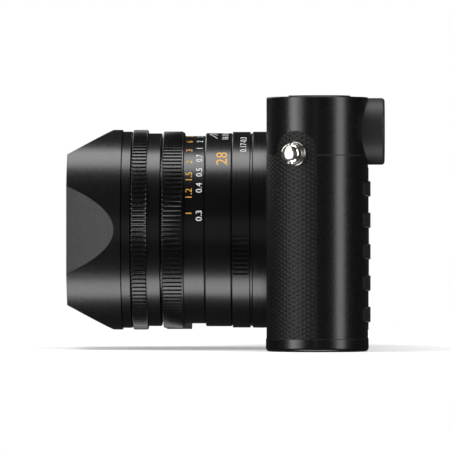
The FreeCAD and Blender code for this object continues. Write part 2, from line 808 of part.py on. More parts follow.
def make_main_board():
    rear = panel_y - panel_depth
    front = rear - board_thickness
    x0 = display_left - display_width + 2 * board_margin
    x1 = display_left - 2 * board_margin
    z0 = display_bottom + board_margin
    board = box(x0, x1, front, rear, z0, display_bottom + display_tall)
    chips = []
    for column, side in enumerate(chip_sides):
        middle = x0 + (x1 - x0) * (column + 1) / (len(chip_sides) + 1)
        chips.append(box(middle - side, middle + side, front - chip_height, front,
                         lens_height - side, lens_height + side))
    return fuse(board, *chips)


def make_battery():
    return round_slab(battery_inner_x - battery_width, battery_inner_x, battery_front,
                      battery_front + battery_thickness, battery_bottom, battery_bottom + battery_tall, edge_round)


def make_battery_door():
    x0, x1, y0, y1 = door_edges()
    low = door_sink
    high = door_sink + door_thickness
    leaf = box(x0, x1, y0, y1, low, high)
    corners = [e for e in leaf.Edges
               if abs(e.tangentAt(e.FirstParameter).z) > 0.5 and e.BoundBox.XMax < x0 + door_gap]
    leaf = leaf.makeFillet(2 * edge_round, corners)
    roll = Part.makeCylinder(door_thickness / 2, y1 - y0, V(x1, y0, hinge_z), V(0, 1, 0))
    pocket_y = (y0 + y1) / 2
    pocket = box(x0 + door_overhang, x0 + door_overhang + latch_length + latch_travel + 2 * button_gap,
                 pocket_y - latch_width / 2 - button_gap, pocket_y + latch_width / 2 + button_gap,
                 0, low + latch_depth)
    return fuse(leaf, roll).cut(pocket)


def make_door_latch():
    x0, x1, y0, y1 = door_edges()
    pocket_y = (y0 + y1) / 2
    start = x0 + door_overhang + button_gap
    slider = box(start, start + latch_length, pocket_y - latch_width / 2, pocket_y + latch_width / 2,
                 door_sink / 2, door_sink + latch_depth - running_gap)
    pitch = latch_length / (latch_grips + 1)
    grips = [box(start + pitch * (i + 1) - grip_width / 2, start + pitch * (i + 1) + grip_width / 2,
                 pocket_y - latch_width / 2, pocket_y + latch_width / 2, 0, door_sink)
             for i in range(latch_grips)]
    return slider.cut(grips)


def make_port_door():
    leaf = end_sector(inner_radius, end_radius, port_hinge_angle, port_front_angle, port_bottom,
                      port_bottom + port_tall)
    roll = upright(port_axis.x, port_axis.y, wall / 2, port_bottom, port_bottom + port_tall)
    return fuse(leaf, roll)


def make_port_sockets():
    """Two sockets in one block, on a small board with a foot above and below that meets the shell."""
    middle = (port_front_angle + port_hinge_angle) / 2
    half = socket_block_width / 2
    face = math.sqrt((inner_radius - button_gap) ** 2 - half ** 2)
    back = face - socket_block_depth
    z = port_bottom + port_tall / 2
    block = box(back, face, -half, half, z - socket_block_tall / 2, z + socket_block_tall / 2)
    for place, socket_half, socket_tall in ((-1, usb_half_width, usb_tall), (1, hdmi_half_width, hdmi_tall)):
        centre = z + place * socket_block_tall / 4
        block = block.cut(box(face - socket_depth_in, face + 1, -socket_half, socket_half,
                              centre - socket_tall / 2, centre + socket_tall / 2))
    low = port_bottom - door_gap - 2 * socket_foot
    high = port_bottom + port_tall + door_gap + 2 * socket_foot
    board = box(back - socket_foot, back, -half, half, low, high)
    feet = [box(back, end_radius, -half, half, low, low + socket_foot),
            box(back, end_radius, -half, half, high - socket_foot, high)]
    pieces = fuse(block, board, *feet)
    pieces.rotate(V(0, 0, 0), V(0, 0, 1), middle)
    pieces.translate(V(right_centre, 0, 0))
    return pieces.common(stadium(inner_radius, 0, body_height))


# ---- Lens mount, barrel and rings ----
def make_lens_flange():
    """The base ring, with a step that sets into the covering and a narrow neck ahead of it."""
    neck_front = flange_front - groove_length + side_gap
    return turned([(shell_front, core_radius), (shell_front, flange_radius - mount_step),
                   (front_y, flange_radius - mount_step), (front_y, flange_radius),
                   (flange_front + ring_chamfer, flange_radius), (flange_front, flange_radius - ring_chamfer),
                   (flange_front, groove_radius), (neck_front, groove_radius), (neck_front, core_radius)])


def make_lens_barrel():
    """The tube that carries every ring, with the fixed depth scale and a rear wall for the last element."""
    return turned([(shell_front, rear_glass_radius), (shell_front, core_radius),
                   (barrel_rear, core_radius), (barrel_rear, barrel_radius - ring_chamfer),
                   (barrel_rear - ring_chamfer, barrel_radius), (barrel_front + ring_chamfer, barrel_radius),
                   (barrel_front, barrel_radius - ring_chamfer), (barrel_front, core_radius),
                   (front_ring_front, core_radius), (front_ring_front, core_bore),
                   (shell_front - rear_wall, core_bore), (shell_front - rear_wall, rear_glass_radius)])


turning_bore = core_radius + running_gap


def make_macro_ring():
    return ring(macro_front, macro_rear, macro_radius, turning_bore, ring_chamfer)


def tab_point(degrees, reach):
    """A place about the lens axis, by angle from straight down towards the photographer's right."""
    a = math.radians(degrees)
    return V(-reach * math.sin(a), 0, lens_height - reach * math.cos(a))


def tab_direction(degrees):
    """Outward direction at that angle."""
    a = math.radians(degrees)
    return V(-math.sin(a), 0, -math.cos(a))


tab_front = focus_front + ring_space
lock_y = tab_front + tab_length / 2


def make_focus_ring():
    """The distance scale, the grip and the finger tab, turned as one piece."""
    body = turned([(scale_rear, turning_bore), (scale_rear, scale_radius), (scale_front, scale_radius),
                   (scale_front, focus_knurl_radius - ring_chamfer), (focus_lip_front, focus_knurl_radius - ring_chamfer),
                   (focus_lip_front, focus_knurl_radius), (focus_front + ring_chamfer, focus_knurl_radius),
                   (focus_front, focus_knurl_radius - ring_chamfer), (focus_front, turning_bore)])
    tab = box(-tab_half_width, tab_half_width, tab_front, tab_front + tab_length, -tab_reach, -core_radius - 1)
    tab = tab.common(Part.makeCylinder(tab_reach, body_height, V(0, -body_height, 0), V(0, 1, 0)))
    scoop = Part.makeCylinder(tab_scoop, body_height, V(0, -body_height, -tab_scoop_reach), V(0, 1, 0))
    tab = tab.cut(scoop)
    tab.rotate(V(0, 0, 0), V(0, 1, 0), tab_angle)
    tab.translate(V(0, 0, lens_height))
    tab = tab.cut(Part.makeCylinder(core_radius + 1, body_height, V(0, -body_height, lens_height), V(0, 1, 0)))
    reach = lock_reach() - lock_proud
    bottom = reach - lock_length
    hole = Part.makeCylinder(lock_radius + lock_gap, lock_length + tab_reach,
                             tab_point(tab_angle + lock_offset, bottom) + V(0, lock_y, 0),
                             tab_direction(tab_angle + lock_offset))
    return fuse(body, tab).cut(hole)


def lock_reach():
    """How far the lock button's face stands from the lens axis."""
    return tab_reach + lock_proud / 2


def make_focus_lock():
    start = lock_reach() - lock_length
    cap = Part.makeCylinder(lock_radius, lock_length, tab_point(tab_angle + lock_offset, start) + V(0, lock_y, 0),
                            tab_direction(tab_angle + lock_offset))
    return cap


def make_aperture_ring():
    return turned([(aperture_rear, turning_bore), (aperture_rear, aperture_radius - ring_chamfer),
                   (aperture_rear - ring_chamfer, aperture_radius), (aperture_smooth_front, aperture_radius),
                   (aperture_smooth_front, aperture_radius - ring_chamfer),
                   (aperture_knurl_rear, aperture_radius - ring_chamfer), (aperture_knurl_rear, aperture_knurl_radius),
                   (aperture_front + ring_chamfer, aperture_knurl_radius),
                   (aperture_front, aperture_knurl_radius - ring_chamfer), (aperture_front, turning_bore)])


def make_front_ring():
    return ring(front_ring_front, front_ring_rear, front_ring_radius, core_radius, ring_chamfer)


# ---- Hood ----
def hood_form(radius, half_height, half_width, y_front, y_rear):
    """A round tube whose top, bottom and sides slant in towards the mouth."""
    tube = along_y(0, lens_height, radius, y_front, y_rear)
    far = 2 * radius
    top_slope = (hood_radius - hood_half_height) / hood_top_run
    side_slope = (hood_radius - hood_half_width) / hood_side_run
    depth = y_rear - y_front
    high = half_height + top_slope * depth
    wide = half_width + side_slope * depth
    profile = [V(-far, y_front, lens_height - half_height), V(-far, y_rear, lens_height - high),
               V(-far, y_rear, lens_height + high), V(-far, y_front, lens_height + half_height)]
    heights = Part.Face(Part.makePolygon(profile + profile[:1])).extrude(V(2 * far, 0, 0))
    plan = [V(-half_width, y_front, lens_height - far), V(half_width, y_front, lens_height - far),
            V(wide, y_rear, lens_height - far), V(-wide, y_rear, lens_height - far)]
    widths = Part.Face(Part.makePolygon(plan + plan[:1])).extrude(V(0, 0, 2 * far))
    return tube.common(heights).common(widths)


def make_lens_hood():
    """A slanted shell with a narrow ring behind, which screws into the lens's filter thread."""
    outer = hood_form(hood_radius, hood_half_height, hood_half_width, hood_front, front_ring_front)
    inner = hood_form(hood_radius - hood_wall, hood_half_height - hood_wall, hood_half_width - hood_wall,
                      hood_front, front_ring_front - hood_ring_thickness)
    bore = along_y(0, lens_height, hood_ring_radius, front_ring_front - 2 * hood_ring_thickness, front_ring_front + 1)
    return outer.cut(inner).cut(bore)


# ---- Optics ----
glass_front_edge = front_ring_front + front_glass_sink
glass_rear_edge = glass_front_edge + front_glass_edge


def make_name_ring():
    """The cone between the filter thread and the front element, also the element's seat."""
    rim = front_ring_front + name_ring_sink
    lip = glass_front_edge - glass_lip
    return turned([(rim, core_bore), (rim, hood_ring_radius), (rim + name_ring_rim, hood_ring_radius - name_ring_step),
                   (lip, front_glass_radius + glass_lip_width), (lip, front_glass_radius),
                   (glass_rear_edge, front_glass_radius), (glass_rear_edge, front_glass_radius + name_ring_wall),
                   (glass_front_edge, front_glass_radius + 2 * name_ring_wall),
                   (rim + name_ring_rim + name_ring_wall, hood_ring_radius),
                   (rim + name_ring_rim + name_ring_wall, core_bore)])


def make_front_element():
    return lens_element(front_glass_radius, glass_front_edge, glass_rear_edge, front_glass_bulge,
                        -front_glass_bulge / 4)


def make_rear_element():
    return lens_element(rear_glass_radius, shell_front - rear_glass_edge, shell_front,
                        -rear_glass_bulge / 2, -rear_glass_bulge / 2)


iris_rear = focus_lip_front + cell_rest_gap
iris_pocket_rear = iris_rear - iris_rear_wall
iris_pocket_front = iris_pocket_rear - (blade_count + 1) * blade_pitch
iris_front = iris_pocket_front - iris_lid
cell_front = iris_rear + cell_rest_gap + focus_travel
cell_rear = cell_front + cell_length
cell_middle = (cell_front + cell_rear) / 2


def make_focus_cell():
    """A sliding cell: an outer guide in the barrel's bore, a web, and a tube for the focusing element."""
    guide = core_bore - running_gap
    tube = cell_bore + cell_wall
    return turned([(cell_front, guide - cell_wall), (cell_front, guide), (cell_rear, guide),
                   (cell_rear, guide - cell_wall), (cell_middle + cell_web / 2, guide - cell_wall),
                   (cell_middle + cell_web / 2, tube), (cell_rear, tube), (cell_rear, cell_bore),
                   (cell_front, cell_bore), (cell_front, tube), (cell_middle - cell_web / 2, tube),
                   (cell_middle - cell_web / 2, guide - cell_wall)])


def make_focus_lens():
    return lens_element(cell_bore, cell_middle - focus_glass_edge / 2, cell_middle + focus_glass_edge / 2,
                        focus_glass_bulge, focus_glass_bulge)


# ---- Iris ----
def pivot_angle(index):
    return math.radians(360 * index / blade_count)


def level_y(index):
    """Rear face of one blade's level; each blade lies on its own."""
    return iris_pocket_rear - (index + 1) * blade_pitch


def around_axis(angle, radius, y):
    return V(radius * math.cos(angle), y, lens_height + radius * math.sin(angle))


def make_iris_housing():
    """A shallow drum with a lid, and one pin for each blade."""
    drum = turned([(iris_front, iris_bore), (iris_front, core_bore), (iris_rear, core_bore), (iris_rear, iris_bore),
                   (iris_pocket_rear, iris_bore), (iris_pocket_rear, iris_pocket_radius),
                   (iris_pocket_front, iris_pocket_radius), (iris_pocket_front, iris_bore)])
    pins = [Part.makeCylinder(pin_radius, iris_rear - iris_pocket_front,
                              around_axis(pivot_angle(i), blade_pivot_radius, iris_pocket_front), V(0, 1, 0))
            for i in range(blade_count)]
    return fuse(drum, *pins)


def make_iris_blade(index):
    """A thin crescent that swings inwards on its own pin."""
    y = level_y(index)
    start = pivot_angle(index)
    end = start + math.radians(blade_sweep)
    middle = (start + end) / 2
    outer = Part.Arc(around_axis(start, blade_outer, y), around_axis(middle, blade_outer, y),
                     around_axis(end, blade_outer, y)).toShape()
    inner = Part.Arc(around_axis(end, blade_inner, y), around_axis(middle, blade_inner, y),
                     around_axis(start, blade_inner, y)).toShape()
    tip = Part.LineSegment(around_axis(end, blade_outer, y), around_axis(end, blade_inner, y)).toShape()
    root = Part.LineSegment(around_axis(start, blade_inner, y), around_axis(start, blade_outer, y)).toShape()
    crescent = Part.Face(Part.Wire([outer, tip, inner, root])).extrude(V(0, blade_thickness, 0))
    pivot = around_axis(start, blade_pivot_radius, y)
    ear = Part.makeCylinder(blade_ear, blade_thickness, pivot, V(0, 1, 0))
    hole = Part.makeCylinder(blade_hole, blade_thickness * 3, pivot - V(0, blade_thickness, 0), V(0, 1, 0))
    return fuse(crescent, ear).cut(hole)


# ---- Every node ----
nodes = {
    "front_shell": make_front_shell(),
    "top_cover": make_top_cover(),
    "base_plate": make_base_plate(),
    "rear_panel": make_rear_panel(),
    "leatherette": make_leatherette(),
    "strap_lugs": Part.makeCompound(lugs),
    "hot_shoe": make_hot_shoe(),
    "eyepiece_frame": make_eyepiece_frame(),
    "eyepiece_glass": make_eyepiece_glass(),
    "evf_unit": make_evf_unit(),
    "diopter_wheel": make_diopter_wheel(),
    "lcd_window": window_shape(),
    "lcd_panel": make_lcd_panel(),
    "main_board": make_main_board(),
    "image_sensor": make_image_sensor(),
    "inner_frame": make_inner_frame(),
    "assist_lamp": along_y(lamp_x, lamp_z, lamp_radius, front_y, -inner_radius),
    "tripod_socket": make_tripod_socket(),
    "cover_screws": Part.makeCompound([make_screw(x, y) for x, y in screw_places]),
    "port_sockets": make_port_sockets(),
    "port_door": make_port_door(),
    "battery": make_battery(),
    "battery_door": make_battery_door(),
    "door_latch": make_door_latch(),
    "speed_dial": make_dial(dial_x, dial_y, dial_radius, dial_height, dial_shaft),
    "thumb_wheel": make_dial(wheel_x, wheel_y, wheel_radius, wheel_height, wheel_shaft),
    "power_lever": make_power_lever(),
    "shutter_button": make_shutter_button(),
    "video_button": make_video_button(),
    "direction_pad": make_direction_pad(),
    "set_button": make_set_button(),
    "zoom_button": make_round_button(zoom_x, zoom_z, zoom_radius, button_proud / 2),
    "lens_flange": make_lens_flange(),
    "macro_ring": make_macro_ring(),
    "lens_barrel": make_lens_barrel(),
    "focus_ring": make_focus_ring(),
    "focus_lock_button": make_focus_lock(),
    "aperture_ring": make_aperture_ring(),
    "front_ring": make_front_ring(),
    "lens_hood": make_lens_hood(),
    "name_ring": make_name_ring(),
    "front_element": make_front_element(),
    "rear_element": make_rear_element(),
    "focus_cell": make_focus_cell(),
    "focus_lens": make_focus_lens(),
    "iris_housing": make_iris_housing(),
}
for number, name in enumerate(button_names):
    nodes[name] = make_rear_button(number)
for number in range(blade_count):
    nodes["iris_blade_%d" % (number + 1)] = make_iris_blade(number)

os.makedirs("parts", exist_ok=True)
for name, shape in nodes.items():
    shape.exportStep("parts/%s.step" % name)
    print("%-18s solids %d  valid %s  volume %9.1f" % (name, len(shape.Solids), shape.isValid(), shape.Volume))
print(len(nodes), "nodes")
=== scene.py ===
# %% [markdown]
# A compact camera with a fixed 28 mm lens and a slanted hood. The sizes, the joints and the
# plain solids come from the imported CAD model. This script adds what a solid can't hold: the
# ribs of the grips, the engraved scales, the grain of the covering and every finish.

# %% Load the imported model
import json
import math
import bmesh
import bpy
from mathutils import Matrix, Vector


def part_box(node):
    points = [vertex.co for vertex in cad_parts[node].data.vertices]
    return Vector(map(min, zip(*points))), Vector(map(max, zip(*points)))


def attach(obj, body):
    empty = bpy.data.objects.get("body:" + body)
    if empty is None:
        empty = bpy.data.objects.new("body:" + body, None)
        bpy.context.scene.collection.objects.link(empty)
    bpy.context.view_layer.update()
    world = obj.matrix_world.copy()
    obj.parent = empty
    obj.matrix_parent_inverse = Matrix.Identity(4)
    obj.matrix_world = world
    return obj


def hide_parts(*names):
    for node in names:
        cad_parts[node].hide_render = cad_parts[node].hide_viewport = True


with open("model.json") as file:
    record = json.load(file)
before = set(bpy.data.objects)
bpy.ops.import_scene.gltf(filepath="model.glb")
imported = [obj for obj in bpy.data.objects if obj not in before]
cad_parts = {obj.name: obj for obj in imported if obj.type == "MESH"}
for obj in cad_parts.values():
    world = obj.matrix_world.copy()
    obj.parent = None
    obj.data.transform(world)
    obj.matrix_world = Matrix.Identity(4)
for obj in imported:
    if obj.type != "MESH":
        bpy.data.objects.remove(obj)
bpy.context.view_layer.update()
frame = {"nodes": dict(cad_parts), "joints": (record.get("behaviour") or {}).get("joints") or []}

mm = 0.001
joints = {joint["name"]: joint for joint in frame["joints"]}
lens_z = joints["focus_turn"]["pos_m"][2]
print("pieces from CAD:", len(frame["nodes"]), "lens axis height:", lens_z)

# %% [markdown]
# The camera looks at the photographer's left end from two metres away, level with the middle of
# the body and turned a little towards the lens. The long lens keeps the far end of the body
# almost as large as the near end.

# %% Camera
view_place = Vector((2.0, 0.003, 0.03878))
view_target = Vector((0.03, -0.0286, 0.03878))
camera_data = bpy.data.cameras.new("view")
camera_data.lens = 508.9
camera_data.sensor_width = 36
camera_data.clip_start = 0.05
camera = bpy.data.objects.new("view", camera_data)
camera.location = view_place
camera.rotation_euler = (view_target - view_place).to_track_quat("-Z", "Y").to_euler()
bpy.context.scene.collection.objects.link(camera)
bpy.context.scene.camera = camera
print("camera", tuple(camera.location))

# %% [markdown]
# A black object is drawn by what it reflects. A softbox overhead gives the band along the upper
# part of the lens and one under the table gives the lower band. Two tall softboxes give the two
# bands down the round end, and a small panel close by fills the flat side of the hood. The
# world is white where the camera sees it and dim in reflections, so the blacks stay black.

# %% Lights
aim = (0, -0.03, 0.04)


def softbox(name, place, width, height, brightness):
    """A rectangular light that faces the camera body; the brightness is that of its surface."""
    light = bpy.data.lights.new(name, "AREA")
    light.shape = "RECTANGLE"
    light.size = width
    light.size_y = height
    light.energy = brightness * math.pi * width * height
    lamp = bpy.data.objects.new(name, light)
    lamp.location = place
    lamp.rotation_euler = (Vector(aim) - Vector(place)).to_track_quat("-Z", "Y").to_euler()
    lamp.visible_camera = False
    bpy.context.scene.collection.objects.link(lamp)
    return lamp


def round_the_front(degrees, distance, height):
    """A place at some degrees from the view direction, towards the back of the body if positive."""
    turn = math.radians(degrees)
    return distance * math.cos(turn), aim[1] + distance * math.sin(turn), height


softbox("overhead", (0, aim[1], 1.04), 0.5, 1.2, 6.0)
softbox("under_table", (0.33, aim[1], -0.93), 1.0, 0.45, 5.5)
softbox("strip_front", round_the_front(-52, 1.0, 0.25), 0.32, 1.0, 6.0)
softbox("strip_rear", round_the_front(52, 1.0, 0.25), 0.34, 1.0, 4.5)
softbox("hood_panel", (0.25, -0.165, 0.04), 0.05, 0.12, 3.2)
softbox("behind_viewer", (2.4, -0.10, 0.06), 0.24, 1.1, 0.5)
softbox("far_side", (-0.9, -0.7, 0.6), 0.8, 0.8, 2.0)

# %% World
world = bpy.data.worlds.new("studio")
bpy.context.scene.world = world
world.use_nodes = True
sky = world.node_tree
backdrop = sky.nodes["Background"]
backdrop.inputs["Color"].default_value = (1, 1, 1, 1)
backdrop.inputs["Strength"].default_value = 0.035
seen = sky.nodes.new("ShaderNodeBackground")
seen.inputs["Color"].default_value = (1, 1, 1, 1)
seen.inputs["Strength"].default_value = 1.0
ray = sky.nodes.new("ShaderNodeLightPath")
either = sky.nodes.new("ShaderNodeMixShader")
sky.links.new(ray.outputs["Is Camera Ray"], either.inputs["Fac"])
sky.links.new(backdrop.outputs["Background"], either.inputs[1])
sky.links.new(seen.outputs["Background"], either.inputs[2])
sky.links.new(either.outputs["Shader"], sky.nodes["World Output"].inputs["Surface"])
bpy.context.scene.view_settings.view_transform = "Standard"
print("world", world.name)

# %% [markdown]
# Materials are node trees. Two small classes keep them readable: Value lets Python's operators
# add Math nodes, and Finish holds one material and adds any other node in one call.

# %% Shader helpers
class Value:
    """A shader socket that takes part in Python sums."""

    def __init__(self, finish, socket):
        self.finish = finish
        self.socket = socket

    def maths(self, operation, first, second=0.0, third=0.0):
        return self.finish.node("Math", {"operation": operation}, i0=first, i1=second, i2=third)

    def __add__(self, other):
        return self.maths("ADD", self, other)

    def __sub__(self, other):
        return self.maths("SUBTRACT", self, other)

    def __rsub__(self, other):
        return self.maths("SUBTRACT", other, self)

    def __mul__(self, other):
        return self.maths("MULTIPLY", self, other)

    def __truediv__(self, other):
        return self.maths("DIVIDE", self, other)

    def __pow__(self, other):
        return self.maths("POWER", self, other)

    __radd__ = __add__
    __rmul__ = __mul__

    def at_least(self, other):
        return self.maths("MAXIMUM", self, other)

    def at_most(self, other):
        return self.maths("MINIMUM", self, other)

    def of(self, output):
        """Another output of the same node, by name or number."""
        return Value(self.finish, self.socket.node.outputs[output])


class Finish:
    """One procedural material on a Principled shader."""

    def __init__(self, name, colour, roughness, **constants):
        self.material = bpy.data.materials.new(name)
        self.material.use_nodes = True
        self.tree = self.material.node_tree
        self.shader = self.tree.nodes["Principled BSDF"]
        self.set("Base Color", (*colour, 1))
        self.set("Roughness", roughness)
        for key, value in constants.items():
            self.set(key.replace("_", " "), value)

    def put(self, value, socket):
        if isinstance(value, Value):
            self.tree.links.new(value.socket, socket)
        else:
            socket.default_value = value

    def set(self, name, value):
        self.put(value, self.shader.inputs[name])

    def node(self, kind, settings=None, **values):
        """A node by type, with its settings first and then the values or links of its inputs."""
        made = self.tree.nodes.new("ShaderNode" + kind)
        for key, setting in (settings or {}).items():
            if key == "stops":
                ramp = made.color_ramp
                while len(ramp.elements) < len(setting):
                    ramp.elements.new(0.5)
                for stop, (place, colour) in zip(ramp.elements, setting):
                    stop.position = place
                    stop.color = (*colour, 1)
            else:
                setattr(made, key, setting)
        for key, value in values.items():
            number = key[0] == "i" and key[1:].isdigit()
            self.put(value, made.inputs[int(key[1:]) if number else key.replace("_", " ")])
        return Value(self, made.outputs[0])

    def coordinates(self):
        return self.node("TexCoord").of("Object")

    def place(self):
        """Object coordinates in millimetres, as three numbers."""
        scaled = self.node("VectorMath", {"operation": "SCALE"}, i0=self.coordinates(), Scale=1 / mm)
        split = self.node("SeparateXYZ", Vector=scaled)
        return split.of("X"), split.of("Y"), split.of("Z")

    def noise(self, scale, detail=2.0, stretch=(1, 1, 1)):
        """Soft noise from 0 to 1; the scale is in features per millimetre."""
        spread = tuple(s / mm for s in stretch)
        moved = self.node("VectorMath", {"operation": "MULTIPLY"}, i0=self.coordinates(), i1=spread)
        return self.node("TexNoise", Vector=moved, Scale=scale, Detail=detail).of("Fac")

    def bump(self, height, depth, strength=1.0):
        """Relief from a height between 0 and 1; the depth is in millimetres."""
        self.set("Normal", self.node("Bump", Height=height, Distance=depth * mm, Strength=strength))

    def blend(self, mask, first, second):
        """A colour that goes from one to another with a mask."""
        return self.node("Mix", {"data_type": "RGBA"}, i0=mask, i6=(*first, 1), i7=(*second, 1)).of(2)


print("shader helpers ready")

# %% [markdown]
# The floor is a large white sheet. Near the camera body it catches the soft shadow, and further
# off it fades into the white of the world, so no horizon shows.

# %% Floor
fade_start = 260.0
fade_width = 200.0
floor_finish = Finish("floor_white", (0.82, 0.82, 0.82), 0.9)
floor_x, floor_y = floor_finish.place()[:2]
from_middle = (floor_x * floor_x + floor_y * floor_y) ** 0.5
fade = ((from_middle - fade_start) / fade_width).at_least(0).at_most(1)
clear = floor_finish.node("BsdfTransparent")
opaque = Value(floor_finish, floor_finish.shader.outputs[0])
floor_mix = floor_finish.node("MixShader", None, Fac=fade, i1=opaque, i2=clear)
floor_finish.put(floor_mix, floor_finish.tree.nodes["Material Output"].inputs["Surface"])
floor_finish.set("Emission Color", (1, 1, 1, 1))
floor_finish.set("Emission Strength", 0.3)
floor_mesh = bmesh.new()
bmesh.ops.create_grid(floor_mesh, x_segments=1, y_segments=1, size=2.0)
floor_data = bpy.data.meshes.new("floor")
floor_mesh.to_mesh(floor_data)
floor_data.materials.append(floor_finish.material)
floor = bpy.data.objects.new("floor", floor_data)
bpy.context.scene.collection.objects.link(floor)
floor.visible_glossy = False
floor.visible_shadow = False
print("floor", floor.name)

# %% [markdown]
# The body is satin black paint on metal: very dark, with a broad soft gloss and a fine grain
# that breaks up the reflections. The lens rings are black anodised, turned on a lathe, so they
# have faint lines round them. The hood and the covering are more matt.

# %% Black finishes
def satin_black(name, colour, roughness, grain=7.0, depth=0.004):
    finish = Finish(name, colour, roughness, IOR=1.5)
    speck = finish.noise(grain, 3)
    wear = finish.noise(0.35, 2)
    finish.set("Roughness", roughness - 0.05 + 0.06 * speck + 0.05 * wear)
    finish.bump(speck, depth)
    return finish


def turned_black(name, colour, roughness):
    """Anodised metal with faint lathe lines round the lens axis."""
    finish = Finish(name, colour, roughness, IOR=1.5)
    line = finish.noise(5.0, 3, stretch=(0.02, 1, 0.02))
    speck = finish.noise(9.0, 2)
    finish.set("Roughness", roughness - 0.06 + 0.07 * line + 0.05 * speck)
    finish.bump(line * 0.6 + speck * 0.4, 0.003)
    return finish


paint = satin_black("body_paint", (0.0028, 0.0022, 0.0022), 0.27)
anodised = turned_black("lens_anodised", (0.0024, 0.0019, 0.0019), 0.26)
hood_paint = satin_black("hood_paint", (0.0035, 0.003, 0.003), 0.27, grain=9.0)
knob_black = satin_black("knob_black", (0.008, 0.0075, 0.0075), 0.36)
matt_black = satin_black("matt_black", (0.006, 0.006, 0.006), 0.6)
plastic = satin_black("button_plastic", (0.010, 0.010, 0.010), 0.30, grain=4.0)
rubber = satin_black("eyepiece_black", (0.0055, 0.005, 0.005), 0.55, grain=6.0)
print("black finishes ready")

# %% Other plain finishes
def metal(name, colour, roughness, scratch=0.05):
    finish = Finish(name, colour, roughness, Metallic=1.0)
    rub = finish.noise(1.5, 4, stretch=(1, 0.1, 1))
    finish.set("Roughness", roughness - scratch / 2 + scratch * rub)
    finish.bump(rub, 0.001)
    return finish


chrome = metal("lug_chrome", (0.80, 0.77, 0.72), 0.20, 0.04)
steel = metal("steel", (0.55, 0.55, 0.56), 0.28)
blade_steel = metal("blade_steel", (0.06, 0.06, 0.065), 0.4)
shoe_steel = metal("shoe_steel", (0.025, 0.025, 0.026), 0.34)
screw_black = metal("screw_black", (0.03, 0.03, 0.03), 0.35)
chassis = metal("chassis", (0.40, 0.40, 0.41), 0.4)


def smooth(name, colour, roughness, **constants):
    """A smooth surface that still varies: faint cloudiness in colour and gloss."""
    finish = Finish(name, colour, roughness, **constants)
    cloud = finish.noise(0.8, 3)
    finish.set("Base Color", finish.blend(cloud, colour, tuple(0.8 * c for c in colour)))
    finish.set("Roughness", roughness + 0.03 * cloud)
    return finish


glass = smooth("optical_glass", (0.9, 0.95, 1.0), 0.01, Transmission_Weight=1.0, IOR=1.5, Coat_Weight=0.4)
display_glass = smooth("display_glass", (0.004, 0.004, 0.005), 0.05, Coat_Weight=0.5)
screen = smooth("display_unit", (0.01, 0.01, 0.012), 0.15)
board_green = smooth("board", (0.01, 0.09, 0.04), 0.45)
sensor_glass = smooth("sensor", (0.03, 0.02, 0.05), 0.12, Coat_Weight=0.6)
lamp_glass = smooth("lamp", (0.09, 0.08, 0.07), 0.12, Coat_Weight=0.5)
cell_case = satin_black("battery_case", (0.02, 0.02, 0.022), 0.5)
print("other finishes ready")

# %% [markdown]
# Every ring on the lens is a turned part, so each is made as on a lathe: an outline of a few
# corners, given as distance along the axis and radius in millimetres, is spun into a solid
# ring. Knobs are spun the same way about an upright axis.

# %% Turning helpers
def span(node):
    """A CAD node's lowest and highest corner in millimetres."""
    low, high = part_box(node)
    return low / mm, high / mm


def spun(outline, axis, centre, steps=192):
    """A closed solid of revolution about Y, Z or a level direction.

    An outline that starts and ends at radius 0 closes on the axis.
    """
    mesh = bmesh.new()
    along = {"Y": Vector((0, 1, 0)), "Z": Vector((0, 0, 1))}[axis] if isinstance(axis, str) else axis
    side = Vector((1, 0, 0)) if along.x == 0 else Vector((0, 0, 1))
    middle = Vector(centre) * mm
    corners = [mesh.verts.new(middle + along * (a * mm) + side * (r * mm)) for a, r in outline]
    closed = corners if outline[0][1] == 0 else corners + corners[:1]
    edges = [mesh.edges.new(pair) for pair in zip(closed, closed[1:])]
    bmesh.ops.spin(mesh, geom=corners + edges, cent=middle, axis=along, angle=2 * math.pi, steps=steps,
                   use_merge=True)
    bmesh.ops.remove_doubles(mesh, verts=mesh.verts, dist=1e-7)
    bmesh.ops.recalc_face_normals(mesh, faces=mesh.faces)
    return mesh


def ribbed(mesh, axis, centre, ribs, start, end, depth, least_radius, sectors=None):
    """Sinks every second strip of the outer wall, which leaves ribs along the axis between start and end."""
    middle = Vector(centre) * mm
    quarter = 2 * math.pi / (4 * ribs)
    for vert in mesh.verts:
        arm = vert.co - middle
        if axis == "Y":
            along, first, second = arm.y, arm.x, arm.z
        else:
            along, first, second = arm.z, arm.x, arm.y
        radius = math.hypot(first, second)
        turn = math.atan2(second, first)
        in_sector = sectors is None or any(low < math.degrees(turn) < high for low, high in sectors)
        if start * mm <= along <= end * mm and radius > least_radius * mm and in_sector:
            if round(turn / quarter) % 4 in (2, 3):
                shrink = 1 - depth * mm / radius
                vert.co.x, vert.co.z = (middle.x + arm.x * shrink,
                                        middle.z + arm.z * shrink if axis == "Y" else vert.co.z)
                if axis == "Z":
                    vert.co.y = middle.y + arm.y * shrink
    return mesh


def piece(name, mesh, body, finish, stands_for=(), soft_angle=32):
    """A finished piece from a bmesh: smooth where its faces meet gently, riding on its body."""
    data = bpy.data.meshes.new(name)
    mesh.to_mesh(data)
    mesh.free()
    data.shade_smooth()
    data.set_sharp_from_angle(angle=math.radians(soft_angle))
    data.materials.append(finish.material)
    made = bpy.data.objects.new(name, data)
    bpy.context.scene.collection.objects.link(made)
    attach(made, body)
    if stands_for:
        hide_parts(*stands_for)
    print(name, len(data.polygons), "faces")
    return made


lens_axis = (0, 0, lens_z / mm)
print("turning helpers ready")

# %% [markdown]
# The aperture ring has a plain band and a ribbed grip, with a shallow groove between them. The
# ribs are straight cuts along the axis. They are modelled, because their ends show in profile.

